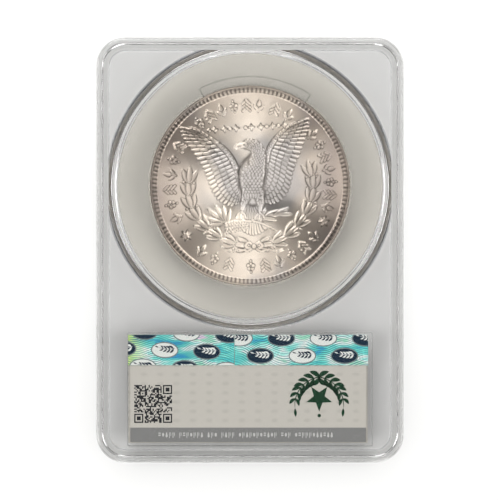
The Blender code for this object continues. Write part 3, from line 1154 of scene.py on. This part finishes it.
labelArt = {
    "paper": (0.63, 0.605, 0.545),
    "mark": (0.55, 0.53, 0.475),
    "aged": (0.68, 0.63, 0.59),
    "markPitch": (3.1 * mm, 1.75 * mm),
    "band": (-36.7 * mm, -33.75 * mm),
    "bandLine": -35.2 * mm,
    "lineSpan": (-17.4 * mm, 16.0 * mm),
    "lineHeight": 1.05 * mm,
    "inset": 0.05 * mm,
    "codeLow": (-22.0 * mm, -32.85 * mm),
    "codeSize": 7.2 * mm,
    "codeCells": 29,
    "emblemMiddle": (13.15 * mm, -27.6 * mm),
    "emblemSize": (13.6 * mm, 8.4 * mm),
}
frontArt = {   # places are from the middle of the front label
    "lines": ((4.4 * mm, (4, 2, 5)), (0.8 * mm, (6, 3, 6, 2)), (-2.4 * mm, (3, 8))),
    "lineSpan": (-18 * mm, 10 * mm),
    "lineHeight": 1.9 * mm,
    "emblemMiddle": (16 * mm, 1.5 * mm),
    "emblemSize": (9.6 * mm, 6 * mm),
    "bandHeight": 3 * mm,
    "bandSpan": (-16 * mm, 16 * mm),
}


def makePaper():
    a = labelArt
    material, tree, shader = newMaterial("labelPaper")
    place = objectPlace(tree)
    split = splitNode(tree, place)
    # a faint staggered repeat of little diamonds, printed all over
    waves = []
    for axis, pitch in (("X", a["markPitch"][0]), ("Y", a["markPitch"][1])):
        scaled = mathNode(tree, "MULTIPLY", split.outputs[axis], math.pi / pitch)
        waves.append(mathNode(tree, "SINE", scaled))
    both = mathNode(tree, "MULTIPLY", *waves)
    flat = mathNode(tree, "ABSOLUTE", both)
    mark = rangeNode(tree, flat, 0.72, 0.86)
    fibre = noiseNode(tree, place, 1500.0, 5.0)
    cloud = noiseNode(tree, place, 130.0, 2.0)
    colour = mixColour(tree, mark, a["paper"], a["mark"])
    fibreTone = tuple(c * 0.9 for c in a["paper"])
    colour = mixColour(tree, mathNode(tree, "MULTIPLY", fibre, 0.35), colour, fibreTone)
    colour = mixColour(tree, mathNode(tree, "MULTIPLY", cloud, 0.25), colour, a["aged"])
    feed(tree, colour, shader.inputs["Base Color"])
    shader.inputs["Roughness"].default_value = 0.8
    bump = addNode(tree, "ShaderNodeBump", {"Height": fibre, "Strength": 0.12, "Distance": 0.00002})
    feed(tree, bump, shader.inputs["Normal"])
    return material


def codeOutlines(low, size, cells):
    # a made-up square code: three corner squares, one small square and seeded cells
    rng = random.Random(25)
    grid = [[rng.random() < 0.56 for _ in range(cells)] for _ in range(cells)]

    def square(column, row, width, dark):
        for j in range(row, row + width):
            for i in range(column, column + width):
                if 0 <= i < cells and 0 <= j < cells:
                    grid[j][i] = dark

    for column, row in ((0, 0), (cells - 7, 0), (cells - 7, cells - 7)):
        square(column - 1, row - 1, 9, False)
        square(column, row, 7, True)
        square(column + 1, row + 1, 5, False)
        square(column + 2, row + 2, 3, True)
    square(4, cells - 9, 5, True)
    square(5, cells - 8, 3, False)
    square(6, cells - 7, 1, True)
    cell = size / cells
    found = []
    for j, row in enumerate(grid):
        start = None
        for i, dark in enumerate(row + [False]):
            if dark and start is None:
                start = i
            elif not dark and start is not None:
                found.append(boxOutline(low[0] + start * cell, low[1] + j * cell, low[0] + i * cell,
                                        low[1] + (j + 1) * cell))
                start = None
    return found


def sprigOutlines(foot, angle, curve, length, leafLength, leafWidth, pairs):
    # a laurel sprig: a curved stem with leaves in pairs and one at the tip
    points, turn, at = [], angle, np.array(foot, float)
    steps = 24
    for step in range(steps + 1):
        points.append(at.copy())
        at = at + length / steps * np.array((math.cos(turn), math.sin(turn)))
        turn += curve / steps
    found = [lineOutline(points, leafWidth * 0.22)]
    for pair in range(pairs):
        spot = int(steps * (0.10 + 0.84 * pair / pairs))
        ahead = points[spot + 1] - points[spot]
        facing = math.atan2(ahead[1], ahead[0])
        size = 1 - 0.35 * pair / pairs
        for side in (1, -1):
            found.append(leafOutline(points[spot], facing + side * 0.62, leafLength * size,
                                     leafWidth * size, side * 0.18))
    ahead = points[-1] - points[-2]
    facing = math.atan2(ahead[1], ahead[0])
    found.append(leafOutline(points[-1], facing, leafLength * 0.7, leafWidth * 0.6, 0.0))
    return found


def emblemOutlines(middle, size):
    # two laurel sprigs crossed below a star, upside down like the rest of the label
    width, height = size
    top = middle[1] + height * 0.46
    found = []
    for side in (1, -1):
        facing = math.pi / 2 + side * (math.pi / 2 - 0.02)
        curve = side * 1.75
        foot = (middle[0] + side * width * 0.07, top - height * 0.05)
        found += sprigOutlines(foot, facing, curve, width * 0.68, width * 0.170, width * 0.066, 7)
    found.append(starOutline((middle[0], middle[1] - height * 0.06), height * 0.31, 5, -math.pi / 2))
    found.append(ovalOutline((middle[0], middle[1] - height * 0.46), height * 0.08, height * 0.08))
    return found


def dashOutlines(span, height, tall, words, rng):
    # groups of plain strokes with no letter shapes, along a line
    total = sum(words) + 0.9 * (len(words) - 1)
    pitch = (span[1] - span[0]) / total
    x, found = span[0], []
    for word in words:
        for _ in range(word):
            kind = rng.choice("abcd")
            wide = pitch * 0.62
            low = height - tall / 2
            if kind == "a":
                found.append(boxOutline(x, low, x + wide * 0.32, low + tall))
                found.append(boxOutline(x + wide * 0.62, low + tall * 0.35, x + wide * 0.9, low + tall))
            elif kind == "b":
                found.append(ovalOutline((x + wide / 2, height + tall * 0.1), wide, tall * 0.7, 0, 12))
            elif kind == "c":
                found.append(boxOutline(x, height - tall * 0.12, x + wide, height + tall * 0.12))
                found.append(boxOutline(x, height + tall * 0.28, x + wide, height + tall * 0.48))
            else:
                found.append([(x, height - tall * 0.2), (x + wide / 2, height - tall * 0.45),
                              (x + wide, height - tall * 0.2), (x + wide * 0.7, height + tall * 0.5),
                              (x + wide * 0.3, height + tall * 0.5)])
            x += pitch
        x += pitch * 0.9
    return found


inkColours = {   # the ink, its worn specks and its roughness
    "blackInk": ((0.012, 0.013, 0.015), (0.04, 0.04, 0.045), 0.5),
    "greenInk": ((0.001, 0.028, 0.010), (0.004, 0.045, 0.020), 0.5),
    "greyInk": ((0.25, 0.25, 0.245), (0.28, 0.28, 0.275), 0.6),
    "lightInk": ((0.66, 0.66, 0.64), (0.56, 0.56, 0.54), 0.6),
    "navyFoilInk": ((0.008, 0.022, 0.045), (0.015, 0.05, 0.07), 0.3),
    "paleFoilInk": ((0.90, 0.92, 0.88), (0.75, 0.86, 0.84), 0.3),
    "edgeFoilInk": ((0.20, 0.25, 0.25), (0.30, 0.36, 0.36), 0.35),
}
paper = makePaper()
inks = {name: inkMaterial(name, *values) for name, values in inkColours.items()}


def printOn(sheet, top, prints):
    # each print is a name, its outlines, the layer of ink it lies in and the ink
    thick = printing["inkThick"]
    joinTo(sheet, [printShapes(name, outlines, top + layer * thick, 2 * thick, inks[ink])
                   for name, outlines, layer, ink in prints])


def makeBackLabel():
    a = labelArt
    low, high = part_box("back_label")
    sheet = makeSheet("backLabel", low, high, paper)
    band = boxOutline(low.x + a["inset"], a["band"][0], high.x - a["inset"], a["band"][1])
    band = clipOutline(band, (low.x, low.y + a["inset"]), (high.x, high.y))
    words = (5, 7, 3, 4, 11, 3, 11)
    dashes = dashOutlines(a["lineSpan"], a["bandLine"], a["lineHeight"], words, random.Random(7))
    printOn(sheet, high.z, (
        ("code", codeOutlines(a["codeLow"], a["codeSize"], a["codeCells"]), 1, "blackInk"),
        ("emblem", emblemOutlines(a["emblemMiddle"], a["emblemSize"]), 1, "greenInk"),
        ("band", [band], 1, "greyInk"),
        ("dashes", dashes, 2, "lightInk"),
    ))
    standFor(sheet, ["back_label"])


def makeFrontLabel():
    a = frontArt
    low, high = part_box("front_label")
    half = (high - low) / 2
    inset = labelArt["inset"]
    sheet = makeSheet("frontLabel", -half, half, paper)
    rng = random.Random(11)
    lines = []
    for height, words in a["lines"]:
        lines += dashOutlines(a["lineSpan"], height, a["lineHeight"], words, rng)
    band = boxOutline(inset - half.x, inset - half.y, half.x - inset, a["bandHeight"] - half.y)
    dashes = dashOutlines(a["bandSpan"], a["bandHeight"] / 2 - half.y, labelArt["lineHeight"], (6, 4, 9, 5),
                          rng)
    printOn(sheet, half.z, (
        ("lines", lines, 1, "blackInk"),
        ("emblem", emblemOutlines(a["emblemMiddle"], a["emblemSize"]), 1, "greenInk"),
        ("band", [band], 1, "greyInk"),
        ("dashes", dashes, 2, "lightInk"),
    ))
    sheet.rotation_euler = (math.pi, 0, 0)
    sheet.location = (low + high) / 2
    applyPlace(sheet)
    standFor(sheet, ["front_label"])


makeBackLabel()
makeFrontLabel()
print("labels made")


# the hologram strip, in two lengths that meet end to end

stripArt = {
    "oval": (5.25 * mm, 3.1 * mm),
    "pitch": (8.0 * mm, 3.3 * mm),
    "outline": 0.22 * mm,
    "left": {"origin": (-16.2 * mm, -19.0 * mm), "tilt": -2.3, "darkFirst": False},
    "right": {"origin": (1.95 * mm, -20.1 * mm), "tilt": 0.0, "darkFirst": True},
    "film": 0.02 * mm,
    "wave": 8.0 * mm,
    "waveHeight": 0.55 * mm,
    "linePitch": 0.40 * mm,
    "drift": 2.4 * mm,
    "lineColour": (0.02, 0.20, 0.25),
    # painted reflection: the foil's rainbow colours and white glints
    "paintedShimmer": [
        (0.30, (0.04, 0.36, 0.70)), (0.37, (0.12, 0.70, 0.66)), (0.45, (0.25, 0.88, 0.78)),
        (0.50, (0.55, 0.98, 0.90)), (0.55, (0.97, 1.0, 0.98)), (0.62, (0.36, 0.88, 0.60)),
        (0.70, (0.95, 0.70, 0.88)),
    ],
    # the yellow at the left end is painted reflection too
    "endGlow": (-19.5 * mm, -23.0 * mm),   # the left end turns yellow between these
    "endColour": (0.80, 0.86, 0.10),
}


def makeFoil():
    a = stripArt
    material, tree, shader = newMaterial("hologramFoil")
    place = objectPlace(tree)
    split = splitNode(tree, place)
    x, y = split.outputs["X"], split.outputs["Y"]
    # two families of fine wavy lines that swell and cross
    swell = noiseNode(tree, place, 150.0, 1.0)
    phase = mathNode(tree, "MULTIPLY", x, 2 * math.pi / a["wave"])
    bend = mathNode(tree, "MULTIPLY", mathNode(tree, "SINE", phase), a["waveHeight"])
    drift = mathNode(tree, "MULTIPLY", mathNode(tree, "SUBTRACT", swell, 0.5), a["drift"])
    lines = []
    for side in (1, -1):
        shifted = mathNode(tree, "ADD", y, mathNode(tree, "MULTIPLY", bend, side))
        level = mathNode(tree, "ADD", shifted, mathNode(tree, "MULTIPLY", drift, side))
        scaled = mathNode(tree, "MULTIPLY", level, 2 * math.pi / a["linePitch"])
        lines.append(mathNode(tree, "SINE", scaled))
    choose = noiseNode(tree, place, 260.0, 1.0)
    sharp = rangeNode(tree, choose, 0.44, 0.56)
    wave = addNode(tree, "ShaderNodeMix", {0: sharp, 2: lines[0], 3: lines[1]}, data_type="FLOAT")
    mask = rangeNode(tree, wave, 0.0, 0.5)
    # painted reflection: the ground's rainbow colours and white glints run through turquoise, white, blue,
    # green and pink
    slanted = addNode(tree, "ShaderNodeMapping", {"Vector": place, "Rotation": (0, 0, 0.7),
                                                  "Scale": (150, 420, 100)})
    paintedShimmer = noiseNode(tree, slanted, 1.0, 3.0)
    ground = rampNode(tree, paintedShimmer, a["paintedShimmer"])
    endGlow = rangeNode(tree, x, *a["endGlow"])
    ground = mixColour(tree, mathNode(tree, "MULTIPLY", endGlow, 0.75), ground, a["endColour"])
    depth = noiseNode(tree, place, 330.0, 2.0)
    strength = rangeNode(tree, depth, 0.4, 0.62, 0.6, 1.0)
    colour = mixColour(tree, mathNode(tree, "MULTIPLY", mask, strength), ground, a["lineColour"])
    feed(tree, colour, shader.inputs["Base Color"])
    shader.inputs["Metallic"].default_value = 0.25
    shader.inputs["Roughness"].default_value = 0.35
    bump = addNode(tree, "ShaderNodeBump", {"Height": mask, "Strength": 0.1, "Distance": 0.00001})
    feed(tree, bump, shader.inputs["Normal"])
    return material


foil = makeFoil()


def ovalSprig(middle, tilt, size):
    # a small upside-down laurel sprig that fits in an oval
    width = size[0] * 0.72
    c, s = math.cos(tilt), math.sin(tilt)
    found = sprigOutlines((0.52 * width, 0.13 * size[1]), math.pi + 0.28, -0.62, width * 0.84, width * 0.30,
                          width * 0.10, 4)
    return [[(middle[0] + px * c - py * s, middle[1] + px * s + py * c) for px, py in outline]
            for outline in found]


def makeStrip(name, node, end):
    a = stripArt
    art = a[end]
    low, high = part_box(node)
    film = a["film"]
    sheet = makeSheet(name, low, Vector((high.x, high.y, high.z - film)), foil)
    tilt = math.radians(art["tilt"])
    along = Vector((math.cos(tilt), math.sin(tilt)))
    down = Vector((math.sin(tilt), -math.cos(tilt)))
    edge, dark, pale, darkOver, paleOver = [], [], [], [], []
    for row in (-2, -1, 0, 1, 2):
        for column in range(-4, 5):
            shift = column + 0.5 * (row % 2)
            middle = Vector(art["origin"]) + along * shift * a["pitch"][0] + down * row * a["pitch"][1]
            isDark = (column + (row == 1) + art["darkFirst"]) % 2 == 1
            edge.append(ovalOutline(middle, a["oval"][0], a["oval"][1], tilt))
            inner = ovalOutline(middle, a["oval"][0] - 2 * a["outline"], a["oval"][1] - 2 * a["outline"],
                                tilt)
            (dark if isDark else pale).append(inner)
            (paleOver if isDark else darkOver).extend(ovalSprig(middle, tilt, a["oval"]))
    corners = ((low.x + 0.02 * mm, low.y + 0.02 * mm), (high.x - 0.02 * mm, high.y - 0.02 * mm))
    prints = []
    for label, outlines, level, ink in (("edge", edge, 0.35, "edgeFoilInk"),
                                        ("dark", dark, 0.65, "navyFoilInk"),
                                        ("pale", pale, 0.65, "paleFoilInk"),
                                        ("sprigs", paleOver, 1, "paleFoilInk"),
                                        ("darkSprigs", darkOver, 1, "navyFoilInk")):
        kept = [clipOutline(outline, *corners) for outline in outlines]
        kept = [outline for outline in kept if outline]
        prints.append(printShapes(label, kept, high.z - film + film * level, film * 0.5, inks[ink]))
    joinTo(sheet, prints)
    standFor(sheet, [node])


makeStrip("hologramStripLeft", "hologram_strip_left", "left")
makeStrip("hologramStripRight", "hologram_strip_right", "right")
print("strips made")


# floor, light and camera

studio = {
    "floorSize": 6.0,
    "floorColour": (0.94, 0.94, 0.935),
    # the floor's painted shade towards the label end
    "floorPaintedShade": (0.79, 0.79, 0.785),
    "skyTop": 0.09,
    "skyEdge": 0.88,
    "suns": [
        # azimuth it shines from, clockwise from the coin end; height; spread; strength
        (-8, 50, 38, 1.35),
        (102, 46, 36, 1.18),
        (176, 46, 34, 0.62),
        (-100, 46, 36, 1.18),
    ],
    "lens": 320.0,
    "sensor": 36.0,
    "frameWidth": 94.7 * mm,
}


def makeFloor():
    bpy.ops.mesh.primitive_plane_add(size=studio["floorSize"], location=(0, 0, slabLow.z - 0.02 * mm))
    floor = bpy.context.active_object
    floor.name = "floor"
    material, tree, shader = newMaterial("paleFloor")
    grain = noiseNode(tree, objectPlace(tree), 40.0, 2.0)
    tone = mixColour(tree, grain, studio["floorColour"], tuple(c * 0.985 for c in studio["floorColour"]))
    # painted shade: the floor is a little darker towards the label end
    along = splitNode(tree, objectPlace(tree)).outputs["Y"]
    shadeFall = rangeNode(tree, along, 40 * mm, -40 * mm)
    tone = mixColour(tree, shadeFall, tone, studio["floorPaintedShade"])
    feed(tree, tone, shader.inputs["Base Color"])
    shader.inputs["Roughness"].default_value = 0.9
    shader.inputs["Specular IOR Level"].default_value = 0.1
    floor.data.materials.append(material)


def makeSky():
    world = bpy.data.worlds.new("studioSky")
    bpy.context.scene.world = world
    world.use_nodes = True
    tree = world.node_tree
    # dim overhead where the camera is, brighter all round the horizon
    way = addNode(tree, "ShaderNodeTexCoord").outputs["Generated"]
    height = splitNode(tree, way).outputs["Z"]
    strength = rangeNode(tree, height, 0.15, 0.97, studio["skyEdge"], studio["skyTop"])
    background = tree.nodes["Background"]
    background.inputs["Color"].default_value = (1.0, 0.99, 0.975, 1)
    feed(tree, strength, background.inputs["Strength"])


def makeSun(azimuth, height, spread, strength):
    data = bpy.data.lights.new("sun", "SUN")
    data.energy = strength
    data.angle = math.radians(spread)
    light = bpy.data.objects.new("sun", data)
    bpy.context.scene.collection.objects.link(light)
    level = math.cos(math.radians(height))
    turn = math.radians(azimuth)
    towards = Vector((level * math.sin(turn), level * math.cos(turn), math.sin(math.radians(height))))
    light.rotation_euler = (-towards).to_track_quat("-Z", "Y").to_euler()


def makeCamera():
    data = bpy.data.cameras.new("camera")
    data.lens = studio["lens"]
    data.sensor_width = studio["sensor"]
    data.clip_end = 20
    camera = bpy.data.objects.new("camera", data)
    bpy.context.scene.collection.objects.link(camera)
    distance = studio["frameWidth"] * studio["lens"] / studio["sensor"]
    camera.location = (0, 0, slabHigh.z + distance)
    bpy.context.scene.camera = camera


makeFloor()
makeSky()
for sun in studio["suns"]:
    makeSun(*sun)
makeCamera()
bpy.context.scene.view_settings.view_transform = "Standard"
bpy.context.scene.cycles.caustics_refractive = False
bpy.context.scene.cycles.caustics_reflective = False
print("floor, light and camera set")
